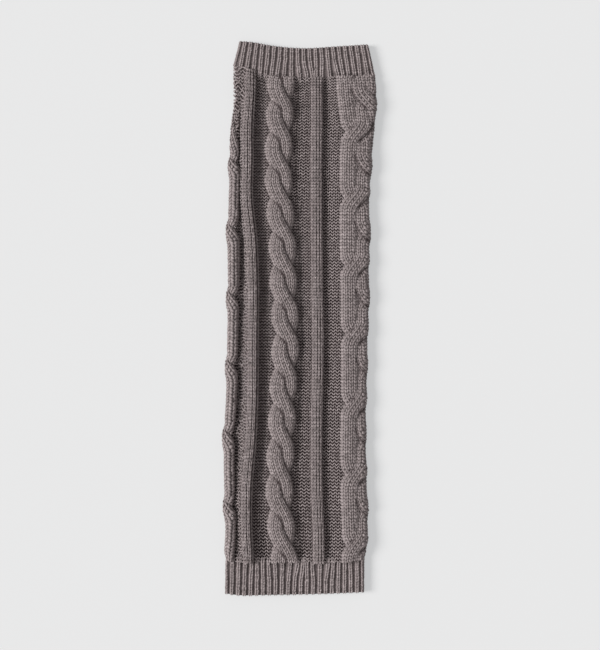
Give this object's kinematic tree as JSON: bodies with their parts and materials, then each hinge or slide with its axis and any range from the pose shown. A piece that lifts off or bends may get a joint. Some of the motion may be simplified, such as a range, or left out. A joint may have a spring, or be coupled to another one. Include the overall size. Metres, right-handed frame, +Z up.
{
  "type": "leg warmer",
  "caption": "Cable-knit leg warmer laid flat: a soft tube with a rope cable, ribs and plaited cables in relief, and narrow ribbed cuffs, open at both ends.",
  "frame": {"origin": "middle of the flat underside, on the surface that the leg warmer lies on", "axes": "+Z up, out of the face that shows; +Y along the leg, towards the upper cuff; +X to the right of the face, towards the fold with the whole plait"},
  "size_m": [0.1349, 0.5004, 0.0127],
  "materials": {
    "cable_knit": "matt, soft spun yarn",
    "rib_knit": "matt, soft spun yarn"
  },
  "bodies": {
    "root": {"leg_tube": "cable_knit", "upper_cuff": "rib_knit", "lower_cuff": "rib_knit"}
  },
  "joints": []
}
